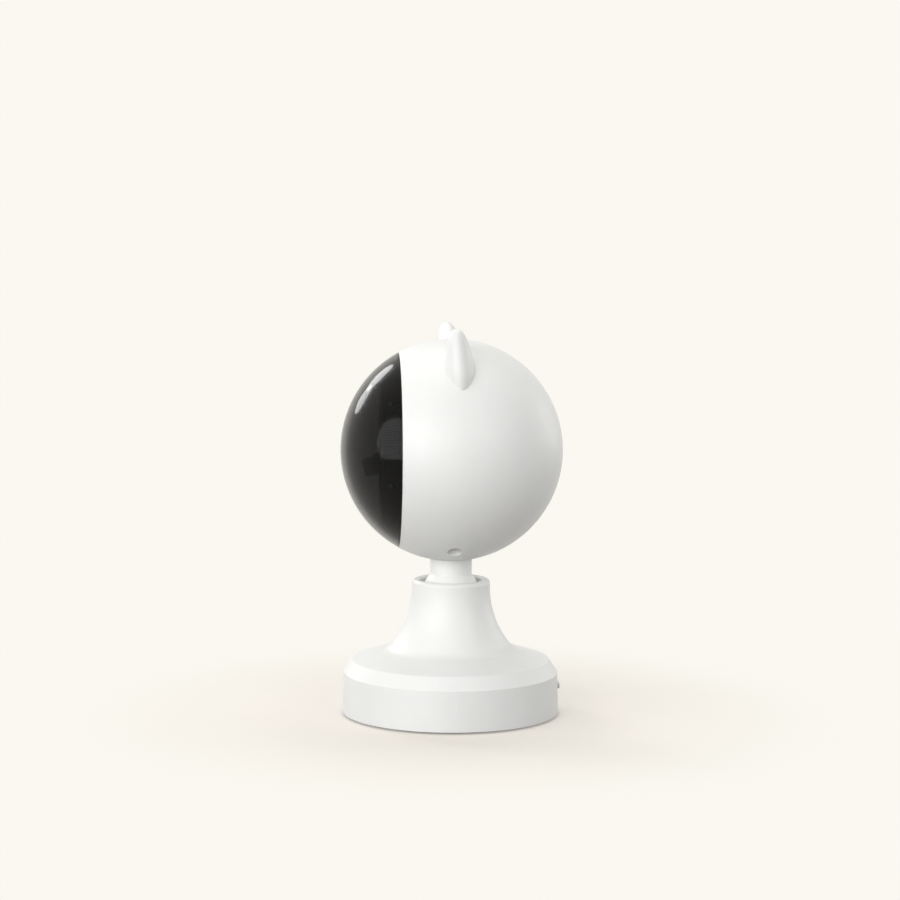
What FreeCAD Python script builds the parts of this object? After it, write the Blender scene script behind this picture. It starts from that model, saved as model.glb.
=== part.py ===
import FreeCAD, Part
import math
import os
import Sketcher

# Automatic cat laser toy: a ball-shaped head with a smoked front, on a weighted bell-shaped base.
# Millimetres. +Z is up, the face looks along -Y, and the origin is on the floor under the middle
# of the base. Angles are in degrees.

SIZES = (
    # Base shell
    ("foot_lift", 0.8, "gap between the floor and the base shell's edge"),
    ("base_radius", 39.2, "base shell at its lower edge"),
    ("wall_taper", 0.5, "base shell's upright wall, inwards up to its top"),
    ("wall_height", 14.4, "upright wall of the base shell"),
    ("edge_inset", 3.0, "bevelled edge, inwards"),
    ("edge_height", 4.6, "bevelled edge"),
    ("deck_slope", 17.5, "fall of the deck towards its edge"),
    ("foot_curve", 7.0, "tight curve where the bell meets the deck"),
    ("neck_curve", 33.5, "wide curve of the bell"),
    ("neck_turn", 38.0, "angle through which the wide curve turns"),
    ("bell_radius", 14.1, "upright neck of the bell"),
    ("neck_straight", 2.7, "upright stretch under the bell's mouth"),
    ("lip_round", 1.5, "outer rounding of the mouth"),
    ("mouth_round", 0.8, "inner rounding of the mouth"),
    ("mouth_radius", 11.3, "opening at the mouth"),
    ("lip_depth", 2.5, "inward lip at the mouth"),
    ("base_wall", 2.0, "wall of the base shell"),
    ("bore_radius", 12.1, "bore in which the swivel cup turns"),
    ("collar_drop", 21.2, "lower end of that bore, below the mouth"),
    # Base plate and what stands on it
    ("post_inset", 9.2, "screw posts, in from the base shell's lower edge"),
    ("post_radius", 3.2, "screw post"),
    ("plate_gap", 0.25, "gap round the bottom plate"),
    ("plate_thick", 2.4, "bottom plate"),
    ("groove_depth", 0.6, "groove that holds the rubber foot"),
    ("foot_inset", 2.8, "rubber foot, in from the base shell's lower edge"),
    ("foot_width", 3.0, "width of the rubber foot"),
    ("ballast_gap", 1.3, "gap between ballast disc and screw posts"),
    ("ballast_thick", 2.5, "steel ballast disc"),
    ("battery_long", 50.0, "battery cell along X"),
    ("battery_gap", 1.0, "gap between battery cell and screw posts, along Y"),
    ("battery_high", 8.0, "battery cell height"),
    ("strap_thick", 1.2, "battery strap"),
    ("strap_wide", 12.0, "battery strap"),
    ("strap_gap", 0.4, "gap between strap and battery ends"),
    ("strap_foot", 6.4, "length of each strap foot"),
    ("stand_radius", 2.6, "small screw posts on the bottom plate"),
    # Charging board, port and button
    ("board_thick", 1.6, "circuit boards"),
    ("board_lift", 3.4, "charging board above the bottom plate"),
    ("board_wide", 11.9, "charging board from its inner to its outer edge"),
    ("board_inset", 4.3, "charging board, in from the base shell's lower edge"),
    ("board_ahead", 13.0, "charging board past the rear centre, towards +X"),
    ("board_behind", 35.0, "charging board past the rear centre, towards -X"),
    ("board_screw_inset", 6.3, "screws of the charging board, in from its outer edge"),
    ("port_angle", 22.0, "charging port from the rear centre, towards -X"),
    ("port_rise", 1.6, "axis of port and button above the board"),
    ("port_wide", 8.94, "charging port"),
    ("port_high", 3.2, "charging port"),
    ("port_deep", 7.3, "charging port"),
    ("port_skin", 0.3, "sheet of the port's shell"),
    ("port_sunk", 0.6, "port mouth behind the outer wall"),
    ("port_margin", 0.25, "gap round the port and the button"),
    ("tongue_thick", 0.7, "contact tongue in the port"),
    ("key_wide", 6.0, "power button"),
    ("key_high", 1.9, "power button"),
    ("key_proud", 0.6, "power button outside the wall"),
    ("key_travel", 0.4, "press of the power button"),
    ("key_flange", 1.0, "flange that keeps the button in"),
    ("key_slack", 0.45, "gap in front of the button's flange"),
    ("switch_wide", 4.6, "push switch"),
    ("switch_high", 3.3, "push switch"),
    ("switch_deep", 3.6, "push switch"),
    ("plunger_radius", 0.9, "plunger of the push switch"),
    ("plunger_long", 2.5, "plunger of the push switch"),
    # Swivel in the bell's neck
    ("swivel_fit", 0.08, "running gap round the swivel cup"),
    ("swivel_gap", 0.3, "gap between the cup's rim and the lip"),
    ("slide_gap", 0.1, "gap between the cup and its friction ring"),
    ("ring_thick", 1.2, "friction ring"),
    ("ring_inner", 10.0, "friction ring"),
    ("ring_outer", 11.8, "friction ring"),
    ("retainer_radius", 16.8, "swivel retainer"),
    ("retainer_thick", 2.5, "swivel retainer"),
    ("retainer_hole", 5.5, "cable hole in the swivel retainer"),
    ("retainer_screws", 14.5, "retainer screws, from the axis"),
    ("cup_cavity", 10.5, "bore of the swivel cup"),
    ("cup_floor", 2.5, "floor of the swivel cup"),
    ("cup_hole", 3.4, "cable hole in cup and ball seat"),
    ("stop_circle", 8.2, "turning stop, from the axis"),
    ("stop_radius", 0.9, "turning stop pin"),
    ("stop_high", 2.0, "turning stop pin"),
    ("stop_groove", 1.2, "depth of the groove for the stop pin"),
    ("pan_angle", 165.0, "turn of the head to each side"),
    ("seat_gap", 0.2, "gap between ball and ball seat"),
    ("seat_below", 4.4, "rim of the ball seat below the ball's centre"),
    ("ball_drop", 5.1, "ball centre below the bell's mouth"),
    ("ball_radius", 10.2, "ball of the neck"),
    ("pin_radius", 1.25, "pivot pins of the ball"),
    ("pin_reach", 4.6, "inner end of the pivot pins"),
    ("pin_fit", 0.05, "running gap round pins and shafts"),
    # Neck and head shell
    ("neck_radius", 7.5, "post above the ball"),
    ("spigot_radius", 6.0, "top of the post inside the head"),
    ("cable_radius", 3.0, "cable bore through ball and post"),
    ("flare_radius", 5.5, "cable bore where it leaves the ball"),
    ("head_gap", 6.8, "head above the bell's mouth"),
    ("head_radius", 40.0, "ball-shaped head"),
    ("head_wall", 2.0, "wall of the head shell"),
    ("dome_wall", 1.8, "wall of the smoked dome"),
    ("dome_depth", 20.75, "smoked dome from its front to its edge"),
    ("pad_radius", 12.0, "flat pad round the neck hole"),
    ("pad_rise", 2.4, "flat pad above the shell's lowest inner point"),
    ("flange_radius", 11.0, "neck flange"),
    ("flange_thick", 2.4, "neck flange"),
    ("neck_screw_circle", 4.5, "neck screws, from the axis"),
    ("well_offset", 20.5, "screw wells under the head, from the axis"),
    ("well_radius", 2.8, "screw well"),
    ("well_depth", 4.35, "screw well"),
    ("boss_radius", 4.4, "boss round the screw well"),
    ("boss_high", 5.0, "boss above the shell's inner face"),
    # Ears
    ("ear_angle", 35.1, "middle of the ear's foot, from the top of the head"),
    ("ear_lean", 21.5, "lean of the ear, outwards"),
    ("ear_length", 12.6, "ear from its foot to its tip"),
    ("ear_wide", 11.0, "half width of the ear's foot"),
    ("ear_deep", 5.4, "half depth of the ear's foot"),
    ("ear_back", 0.9, "ear's foot behind the side of the head"),
    ("peg_radius", 2.0, "peg of the ear"),
    # Dome ring and mask
    ("ring_gap", 0.3, "gap between dome and ribbed ring"),
    ("ring_wall", 1.6, "ribbed ring"),
    ("ring_skirt", 4.25, "skirt of the ring inside the head shell"),
    ("mask_depth", 14.4, "front of the mask behind the head's front"),
    ("mask_thick", 1.6, "mask"),
    ("mask_band", 4.6, "depth of the mask's edge band"),
    ("mask_fit", 0.1, "gap between mask and ribbed ring"),
    ("ring_screw_back", 2.5, "ring screws behind the front of the mask"),
    ("window_margin", 0.8, "gap round the laser at its limits"),
    # Chassis in the head
    ("shelf_rise", 20.0, "top of the shelf above the shell's lowest inner point"),
    ("shelf_thick", 2.0, "shelf of the chassis"),
    ("shelf_gap", 3.3, "gap between the shelf's edge and the head shell"),
    ("shelf_front", 15.0, "shelf in front of the head's centre"),
    ("shelf_back", 18.0, "shelf behind the head's centre"),
    ("rail_inset", 3.6, "side rails in from the edge of the mask's flat front"),
    ("rail_thick", 2.4, "side rail"),
    ("rail_top", 8.0, "top of the side rails above the head's centre"),
    ("bearing_radius", 5.0, "bearing boss of the laser yoke"),
    ("bearing_long", 4.5, "bearing boss below the shelf"),
    ("foot_radius", 3.6, "foot of the chassis"),
    ("rail_boss", 2.2, "screw bosses on the side rails"),
    ("rail_boss_long", 8.0, "rear screw bosses on the side rails"),
    ("mask_boss_overlap", 4.0, "front screw bosses beside the side rails"),
    ("head_board_side", 3.0, "circuit board past the middle of the side rails"),
    ("head_board_gap", 1.0, "circuit board clear of the shelf and of the rails' tops"),
    # Laser turret
    ("gimbal_offset", 5.6, "laser's pivot in front of the head's centre"),
    ("laser_down", 14.0, "rest angle of the laser below level"),
    ("laser_lowest", 30.0, "lowest angle of the laser below level"),
    ("laser_turn", 30.0, "turn of the laser to each side"),
    ("laser_radius", 3.25, "laser module"),
    ("laser_reach", 26.9, "front of the laser module from its pivot"),
    ("laser_long", 20.0, "laser module"),
    ("lens_radius", 2.0, "lens of the laser"),
    ("sleeve_radius", 4.4, "sleeve that holds the laser"),
    ("sleeve_back", 4.0, "sleeve behind the pivot"),
    ("sleeve_front", 12.0, "sleeve in front of the pivot"),
    ("tongue_reach", 22.5, "tongue over the laser, from the pivot"),
    ("shaft_radius", 2.0, "shaft of the laser yoke"),
    ("trunnion_radius", 1.5, "pivots of the laser sleeve"),
    ("arm_inner", 8.0, "inner face of the yoke's arms"),
    ("arm_thick", 2.0, "arm of the yoke"),
    ("arm_wide", 8.0, "arm of the yoke"),
    ("arm_above", 3.5, "short arm above the pivot"),
    ("yoke_floor", 2.0, "floor of the yoke"),
    # Gears and motors
    ("gear_module", 0.5, "module of the gears"),
    ("backlash", 0.12, "play between the gears' teeth"),
    ("pan_teeth", 40.0, "teeth of the turning gear"),
    ("tilt_teeth", 32.0, "teeth of a full tilting gear"),
    ("pinion_teeth", 10.0, "teeth of the pinions"),
    ("gear_thick", 2.0, "gears"),
    ("gear_lift", 0.4, "turning gear above the shelf"),
    ("motor_shaft", 0.75, "shafts of the motors"),
    ("pan_motor_radius", 5.0, "turning motor"),
    ("pan_motor_long", 10.5, "turning motor"),
    ("tilt_motor_radius", 4.0, "tilting motor"),
    ("tilt_motor_long", 9.0, "tilting motor"),
    ("motor_plate", 0.8, "mounting plates of the motors"),
)

doc = FreeCAD.newDocument("cat_laser_toy")
sheet = doc.addObject("Spreadsheet::Sheet", "Sizes")
for row, (alias, number, meaning) in enumerate(SIZES, start=1):
    sheet.set(f"A{row}", meaning)
    sheet.set(f"B{row}", str(number))
    sheet.setAlias(f"B{row}", alias)
doc.recompute()


class Size:
    """A length or an angle, kept as an expression over the sheet's cells."""

    def __init__(self, text):
        self.text = text

    def __add__(self, other):
        return Size(f"({self.text} + {text_of(other)})")

    def __radd__(self, other):
        return Size(f"({text_of(other)} + {self.text})")

    def __sub__(self, other):
        return Size(f"({self.text} - {text_of(other)})")

    def __rsub__(self, other):
        return Size(f"({text_of(other)} - {self.text})")

    def __mul__(self, other):
        return Size(f"({self.text} * {text_of(other)})")

    __rmul__ = __mul__

    def __truediv__(self, other):
        return Size(f"({self.text} / {text_of(other)})")

    def __neg__(self):
        return Size(f"(0 - {self.text})")


class Cells:
    """Gives each cell of the sheet as a Size, by its alias."""

    def __getattr__(self, alias):
        return Size("Sizes." + alias)


def text_of(size):
    return size.text if isinstance(size, Size) else repr(size)


def value(size):
    return float(sheet.evalExpression(text_of(size)))


def cosine(angle):
    return Size(f"cos({text_of(angle)})")


def sine(angle):
    return Size(f"sin({text_of(angle)})")


def tangent(angle):
    return Size(f"tan({text_of(angle)})")


def arc_sine(ratio):
    return Size(f"(asin({text_of(ratio)}) / 1 deg)")


def root(square):
    return Size(f"sqrt({text_of(square)})")


def other_side(long_side, side):
    """The third side of a right triangle, from its longest side and one other."""
    return root(long_side * long_side - side * side)


s = Cells()

ALONG_X = ((0, 1, 0), 90)
ALONG_MINUS_X = ((0, 1, 0), -90)
ALONG_Y = ((1, 0, 0), -90)
ALONG_MINUS_Y = ((1, 0, 0), 90)
PILOT_SLACK = 0.2


def bind(thing, **sizes):
    for name, size in sizes.items():
        thing.setExpression(name, text_of(size))


def place(thing, at=(0, 0, 0), turn=None):
    """Put a thing at a point, turned about one axis."""
    if turn:
        axis, angle = turn
        rotation = FreeCAD.Rotation(FreeCAD.Vector(*axis), value(angle))
        thing.Placement = FreeCAD.Placement(FreeCAD.Vector(0, 0, 0), rotation)
        if isinstance(angle, Size):
            thing.setExpression("Placement.Rotation.Angle", angle.text)
    for letter, size in zip("xyz", at):
        if isinstance(size, Size) or size:
            thing.setExpression("Placement.Base." + letter, text_of(size))
    return thing


def cylinder(name, radius, height, at=(0, 0, 0), turn=None):
    thing = doc.addObject("Part::Cylinder", name)
    bind(thing, Radius=radius, Height=height)
    return place(thing, at, turn)


def sector(name, radius, height, sweep, start, at=(0, 0, 0)):
    """A slice of a cylinder, from the angle start round to start plus sweep."""
    thing = cylinder(name, radius, height)
    bind(thing, Angle=sweep)
    return place(thing, at, ((0, 0, 1), start))


def sphere(name, radius, at=(0, 0, 0)):
    thing = doc.addObject("Part::Sphere", name)
    bind(thing, Radius=radius)
    return place(thing, at)


def box(name, size, at=(0, 0, 0), turn=None):
    thing = doc.addObject("Part::Box", name)
    bind(thing, Length=size[0], Width=size[1], Height=size[2])
    return place(thing, at, turn)


def centred_box(name, size, middle):
    """A box whose middle in X and Y is given, and its lowest Z."""
    corner = (middle[0] - size[0] / 2, middle[1] - size[1] / 2, middle[2])
    return box(name, size, corner)


def fuse(name, things):
    thing = doc.addObject("Part::MultiFuse", name)
    thing.Shapes = things
    return thing


def common(name, things):
    thing = doc.addObject("Part::MultiCommon", name)
    thing.Shapes = things
    return thing


def cut(name, base, tools):
    tool = tools[0] if len(tools) == 1 else fuse(name + "_cuts", tools)
    thing = doc.addObject("Part::Cut", name)
    thing.Base = base
    thing.Tool = tool
    return thing


def group(name, things):
    """Several separate solids under one name."""
    thing = doc.addObject("Part::Compound", name)
    thing.Links = things
    return thing


def draw(sketch, start, moves):
    """Draw a closed outline. A move is a point, or a point, a centre, a radius and a turn."""
    corners = [start] + [move[0] for move in moves]
    points = [FreeCAD.Vector(value(x), value(y), 0) for x, y in corners]
    ends = []
    for index, move in enumerate(moves):
        first, last = points[index], points[index + 1]
        if len(move) == 1:
            sketch.addGeometry(Part.LineSegment(first, last), False)
            ends.append((1, 2))
            continue
        centre, radius, counterclockwise = move[1:]
        middle = FreeCAD.Vector(value(centre[0]), value(centre[1]), 0)
        circle = Part.Circle(middle, FreeCAD.Vector(0, 0, 1), value(radius))
        begin, finish = (first, last) if counterclockwise else (last, first)
        angles = [math.atan2((p - middle).y, (p - middle).x) for p in (begin, finish)]
        if angles[1] < angles[0]:
            angles[1] += 2 * math.pi
        sketch.addGeometry(Part.ArcOfCircle(circle, *angles), False)
        ends.append((1, 2) if counterclockwise else (2, 1))
    count = len(moves)
    for index in range(count):
        after = (index + 1) % count
        sketch.addConstraint(
            Sketcher.Constraint("Coincident", index, ends[index][1], after, ends[after][0]))
    for index, move in enumerate(moves):
        for kind, size in zip(("DistanceX", "DistanceY"), corners[index]):
            rule = sketch.addConstraint(
                Sketcher.Constraint(kind, -1, 1, index, ends[index][0], value(size)))
            if isinstance(size, Size):
                sketch.setExpression(f"Constraints[{rule}]", size.text)
        if len(move) > 1:
            rule = sketch.addConstraint(Sketcher.Constraint("Radius", index, value(move[2])))
            sketch.setExpression(f"Constraints[{rule}]", text_of(move[2]))


def sketched(name, plane, start, moves):
    body = doc.addObject("PartDesign::Body", name)
    sketch = body.newObject("Sketcher::SketchObject", name + "_sketch")
    role = plane + "_Plane"
    flat = next(f for f in body.Origin.OriginFeatures if f.Role == role)
    sketch.AttachmentSupport = [(flat, "")]
    sketch.MapMode = "FlatFace"
    closed = moves[-1][0] is start
    draw(sketch, start, moves if closed else moves + [(start,)])
    return body, sketch


def turned(name, plane, start, moves):
    """A body of revolution about the plane's upright axis: Z for XZ, and Y for XY."""
    body, sketch = sketched(name, plane, start, moves)
    feature = body.newObject("PartDesign::Revolution", name + "_turn")
    feature.Profile = sketch
    feature.ReferenceAxis = (sketch, ["V_Axis"])
    feature.Angle = 360
    return body


def padded(name, plane, length, start, moves, at=(0, 0, 0), turn=None):
    """A body of even section: up from XY, towards -Y from XZ, towards +X from YZ."""
    body, sketch = sketched(name, plane, start, moves)
    feature = body.newObject("PartDesign::Pad", name + "_pad")
    feature.Profile = sketch
    bind(feature, Length=length)
    return place(body, at, turn)


def rounded(width, height, radius, middle=(0, 0)):
    """The outline of a rectangle with round corners, for turned and padded."""
    right, left = middle[0] + width / 2, middle[0] - width / 2
    top, bottom = middle[1] + height / 2, middle[1] - height / 2
    near_right, near_left = right - radius, left + radius
    near_top, near_bottom = top - radius, bottom + radius
    start = (near_left, bottom)
    moves = [
        ((near_right, bottom),),
        ((right, near_bottom), (near_right, near_bottom), radius, True),
        ((right, near_top),),
        ((near_right, top), (near_right, near_top), radius, True),
        ((near_left, top),),
        ((left, near_top), (near_left, near_top), radius, True),
        ((left, near_bottom),),
        (start, (near_left, near_bottom), radius, True),
    ]
    return start, moves


def screw(name, radius, length, head_radius, head_high, at, turn=None):
    """A screw with its shank up from the point at, and a crossed head below it."""
    shank = cylinder(name + "_shank", radius, length)
    head = cylinder(name + "_head", head_radius, head_high, (0, 0, -head_high))
    slot_wide, slot_long, slot_deep = head_radius * 0.22, head_radius * 1.2, head_high * 0.5
    slots = [
        centred_box(name + "_slot_a", (slot_wide, slot_long, slot_deep), (0, 0, -head_high)),
        centred_box(name + "_slot_b", (slot_long, slot_wide, slot_deep), (0, 0, -head_high)),
    ]
    return place(cut(name, fuse(name + "_blank", [shank, head]), slots), at, turn)


def around(circle, angles, up=0):
    """Points on a circle round the Z axis."""
    return [(circle * cosine(a), circle * sine(a), up) for a in angles]


# Heights and places that several parts share
wall_top = s.foot_lift + s.wall_height
wall_top_radius = s.base_radius - s.wall_taper
edge_radius = wall_top_radius - s.edge_inset
post_circle = s.base_radius - s.post_inset
foot_outer = s.base_radius - s.foot_inset
ballast_radius = post_circle - s.post_radius - s.ballast_gap
battery_wide = (post_circle * cosine(45) - s.post_radius - s.battery_gap) * 2
board_outer = s.base_radius - s.board_inset
board_inner = board_outer - s.board_wide
board_screws = board_outer - s.board_screw_inset
deck_edge = wall_top + s.edge_height
wide_centre = s.bell_radius + s.neck_curve
tight_centre = wide_centre - (s.neck_curve - s.foot_curve) * cosine(s.neck_turn)
deck_start = tight_centre - s.foot_curve * sine(s.deck_slope)
deck_top = deck_edge + (edge_radius - deck_start) * tangent(s.deck_slope)
tight_height = deck_top + s.foot_curve * cosine(s.deck_slope)
wide_height = tight_height + (s.neck_curve - s.foot_curve) * sine(s.neck_turn)
rim = wide_height + s.neck_straight
lip_under = rim - s.lip_depth
collar = rim - s.collar_drop
plate_top = s.foot_lift + s.plate_thick
ballast_top = plate_top + s.ballast_thick
board_under = plate_top + s.board_lift
board_top = board_under + s.board_thick
port_height = board_top + s.port_rise
ball_height = rim - s.ball_drop
cup_under = collar + s.ring_thick + s.slide_gap
cup_top = lip_under - s.swivel_gap
head_height = rim + s.head_gap + s.head_radius
dome_offset = s.head_radius - s.dome_depth
mask_offset = s.head_radius - s.mask_depth
mask_outer = s.head_radius - s.dome_wall - s.ring_gap - s.ring_wall - s.mask_fit
rail_offset = other_side(mask_outer, mask_offset) - s.rail_inset
ear_foot_side = s.head_radius * sine(s.ear_angle)
ear_foot_up = s.head_radius * cosine(s.ear_angle)
HEAD = (0, 0, head_height)
BALL = (0, 0, ball_height)

POST_ANGLES = (45, 135, 225, 315)
RETAINER_ANGLES = (30, 150, 270)
BOARD_SCREW_ANGLES = (81, 119)

parts = []


def keep(thing):
    """Note a finished sub-part: its label names its file."""
    parts.append(thing)
    return thing


def bell_curve(inward):
    """The bell's outline from the deck's edge up to its neck, moved inward by a wall."""
    wide, tight = s.neck_curve + inward, s.foot_curve + inward
    tight_middle, wide_middle = (tight_centre, tight_height), (wide_centre, wide_height)
    deck_end = (tight_centre - tight * sine(s.deck_slope),
                tight_height - tight * cosine(s.deck_slope))
    joint = (tight_centre - tight * cosine(s.neck_turn),
             tight_height - tight * sine(s.neck_turn))
    return deck_end, [(deck_end,), (joint, tight_middle, tight, False)], wide_middle, wide


def make_base_shell():
    _, flare, wide_middle, wide = bell_curve(0)
    start = (0, s.foot_lift)
    lip_middle = (s.bell_radius - s.lip_round, rim - s.lip_round)
    outside = turned("base_outside", "XZ", start, [
        ((s.base_radius, s.foot_lift),),
        ((wall_top_radius, wall_top),),
        ((edge_radius, deck_edge),),
        *flare,
        ((s.bell_radius, wide_height), wide_middle, wide, False),
        ((s.bell_radius, rim - s.lip_round),),
        ((s.bell_radius - s.lip_round, rim), lip_middle, s.lip_round, True),
        ((0, rim),),
    ])
    deck_end, flare, wide_middle, wide = bell_curve(s.base_wall)
    corner_radius = edge_radius - s.base_wall * 0.8
    corner = deck_end[1] - (corner_radius - deck_end[0]) * tangent(s.deck_slope)
    collar_edge = wide_centre - other_side(wide, wide_height - collar)
    cavity = turned("base_cavity", "XZ", (0, s.foot_lift - 1), [
        ((s.base_radius - s.base_wall, s.foot_lift - 1),),
        ((wall_top_radius - s.base_wall, wall_top - s.base_wall / 4),),
        ((corner_radius, corner),),
        *flare,
        ((collar_edge, collar), wide_middle, wide, False),
        ((0, collar),),
    ])
    posts = [cylinder(f"base_post_{n}", s.post_radius, rim, spot)
             for n, spot in enumerate(around(post_circle, POST_ANGLES, plate_top))]
    posts_in = common("base_posts", [fuse("base_post_blanks", posts), outside])
    walls = cut("base_walls", outside, [cavity])
    mouth = turned("base_mouth", "XZ", (0, lip_under - 1), [
        ((s.mouth_radius, lip_under - 1),),
        ((s.mouth_radius, rim - s.mouth_round),),
        ((s.mouth_radius + s.mouth_round, rim), (s.mouth_radius + s.mouth_round,
                                                 rim - s.mouth_round), s.mouth_round, False),
        ((s.mouth_radius + s.mouth_round, rim + 1),),
        ((0, rim + 1),),
    ])
    bore = cylinder("base_bore", s.bore_radius, lip_under - collar + 1, (0, 0, collar - 1))
    pilots = [cylinder(f"base_pilot_{n}", BASE_SCREW, BASE_SCREW_LONG, spot)
              for n, spot in enumerate(around(post_circle, POST_ANGLES, plate_top - 1))]
    pilots += [cylinder(f"retainer_pilot_{n}", SMALL_SCREW, RETAINER_SCREW_LONG, spot)
               for n, spot in enumerate(around(s.retainer_screws, RETAINER_ANGLES,
                                               collar - s.retainer_thick))]
    margin = s.port_margin * 2
    windows = [
        wall_window("port_window", s.port_wide + margin, s.port_high + margin, s.port_angle),
        wall_window("key_window", s.key_wide + margin, s.key_high + margin, 0),
    ]
    whole = cut("base_whole", fuse("base_blank", [walls, posts_in]),
                [mouth, bore] + pilots + windows)
    for name, low, high in (("base_shell", 0, deck_top), ("neck_bell", deck_top, rim + 1)):
        slab = cylinder(name + "_slab", s.base_radius * 2, high - low, (0, 0, low))
        keep(common(name, [whole, slab]))


def rear_point(distance, angle, up):
    """A point behind the axis, turned from the rear centre towards -X."""
    return (-distance * sine(angle), distance * cosine(angle), up)


def rear_turn(angle):
    """Turns a thing made towards -Y so that it faces the rear, at an angle from the centre."""
    return ((0, 0, 1), 180 + angle)


def wall_window(name, width, height, angle):
    """A slot with round ends through the rear wall of the base shell."""
    inside = s.base_radius - s.base_wall * 2
    return padded(name, "XZ", s.base_wall * 4, *rounded(width, height, height / 2 - 0.01),
                  at=rear_point(inside, angle, port_height), turn=rear_turn(angle))


BASE_SCREW = 1.25
BASE_SCREW_LONG = 9
BASE_SCREW_HEAD = 2.3
BASE_HEAD_HIGH = 1.3
SMALL_SCREW = 1.0
SMALL_SCREW_HEAD = 1.9
SMALL_HEAD_HIGH = 1.3
RETAINER_SCREW_LONG = 8
FINE_SCREW = 0.8
FINE_SCREW_HEAD = 1.5
FINE_HEAD_HIGH = 1.0


def make_base_plate():
    radius = s.base_radius - s.base_wall - s.plate_gap
    disc = cylinder("plate_disc", radius, s.plate_thick, (0, 0, s.foot_lift))
    strap_posts = [cylinder(f"strap_post_{n}", s.stand_radius, s.ballast_thick,
                            (side * strap_screw, 0, plate_top))
                   for n, side in enumerate((-1, 1))]
    board_posts = [cylinder(f"board_post_{n}", s.stand_radius, s.board_lift, spot)
                   for n, spot in enumerate(around(board_screws, BOARD_SCREW_ANGLES, plate_top))]
    groove_middle = foot_outer - s.foot_width / 2
    ring_cut = cut("foot_groove", cylinder("groove_outer", foot_outer, s.groove_depth,
                                           (0, 0, s.foot_lift)),
                   [cylinder("groove_inner", foot_outer - s.foot_width, s.groove_depth,
                             (0, 0, s.foot_lift))])
    holes = [cylinder(f"plate_hole_{n}", BASE_SCREW + PILOT_SLACK, s.plate_thick, spot)
             for n, spot in enumerate(around(post_circle, POST_ANGLES, s.foot_lift))]
    holes += [cylinder(f"plate_sink_{n}", BASE_SCREW_HEAD + PILOT_SLACK, BASE_HEAD_HIGH + 0.1, spot)
              for n, spot in enumerate(around(post_circle, POST_ANGLES, s.foot_lift))]
    pilots = [cylinder(f"strap_pilot_{n}", SMALL_SCREW, s.ballast_thick + 1,
                       (side * strap_screw, 0, plate_top - 1))
              for n, side in enumerate((-1, 1))]
    pilots += [cylinder(f"board_pilot_{n}", SMALL_SCREW, s.board_lift + 1, spot)
               for n, spot in enumerate(around(board_screws, BOARD_SCREW_ANGLES,
                                               plate_top - 1))]
    whole = fuse("plate_blank", [disc] + strap_posts + board_posts)
    keep(cut("bottom_plate", whole, [ring_cut] + holes + pilots))
    foot_high = s.foot_lift + s.groove_depth
    keep(turned("foot_ring", "XZ", *rounded(s.foot_width, foot_high, foot_high / 4,
                                            (groove_middle, foot_high / 2))))
    head_at = s.foot_lift + BASE_HEAD_HIGH + 0.1
    keep(group("base_screws", [
        screw(f"base_screw_{n}", BASE_SCREW, BASE_SCREW_LONG, BASE_SCREW_HEAD, BASE_HEAD_HIGH, spot)
        for n, spot in enumerate(around(post_circle, POST_ANGLES, head_at))]))


strap_inner = s.battery_long / 2 + s.strap_gap
strap_screw = strap_inner + s.strap_foot - s.stand_radius + 0.4


def make_battery():
    keep(cylinder("ballast_disc", ballast_radius, s.ballast_thick, (0, 0, plate_top)))
    keep(padded("battery", "YZ", s.battery_long,
                *rounded(battery_wide, s.battery_high, s.battery_high / 4,
                         (0, s.battery_high / 2)),
                at=(-s.battery_long / 2, 0, ballast_top)))
    span = (strap_inner + s.strap_thick) * 2
    feet_span = (strap_inner + s.strap_foot) * 2
    outer = centred_box("strap_outer", (span, s.strap_wide, s.battery_high + s.strap_thick),
                        (0, 0, ballast_top))
    feet = centred_box("strap_feet", (feet_span, s.strap_wide, s.strap_thick), (0, 0, ballast_top))
    inner = centred_box("strap_inner", (strap_inner * 2, s.strap_wide, s.battery_high),
                        (0, 0, ballast_top))
    holes = [cylinder(f"strap_hole_{n}", SMALL_SCREW + PILOT_SLACK, s.strap_thick,
                      (side * strap_screw, 0, ballast_top)) for n, side in enumerate((-1, 1))]
    keep(cut("battery_strap", fuse("strap_blank", [outer, feet]), [inner] + holes))
    keep(group("strap_screws", [
        screw(f"strap_screw_{n}", SMALL_SCREW, s.strap_thick + s.ballast_thick, SMALL_SCREW_HEAD,
              SMALL_HEAD_HIGH, (side * strap_screw, 0, ballast_top + s.strap_thick), UPSIDE_DOWN)
        for n, side in enumerate((-1, 1))]))


UPSIDE_DOWN = ((1, 0, 0), 180)


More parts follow.
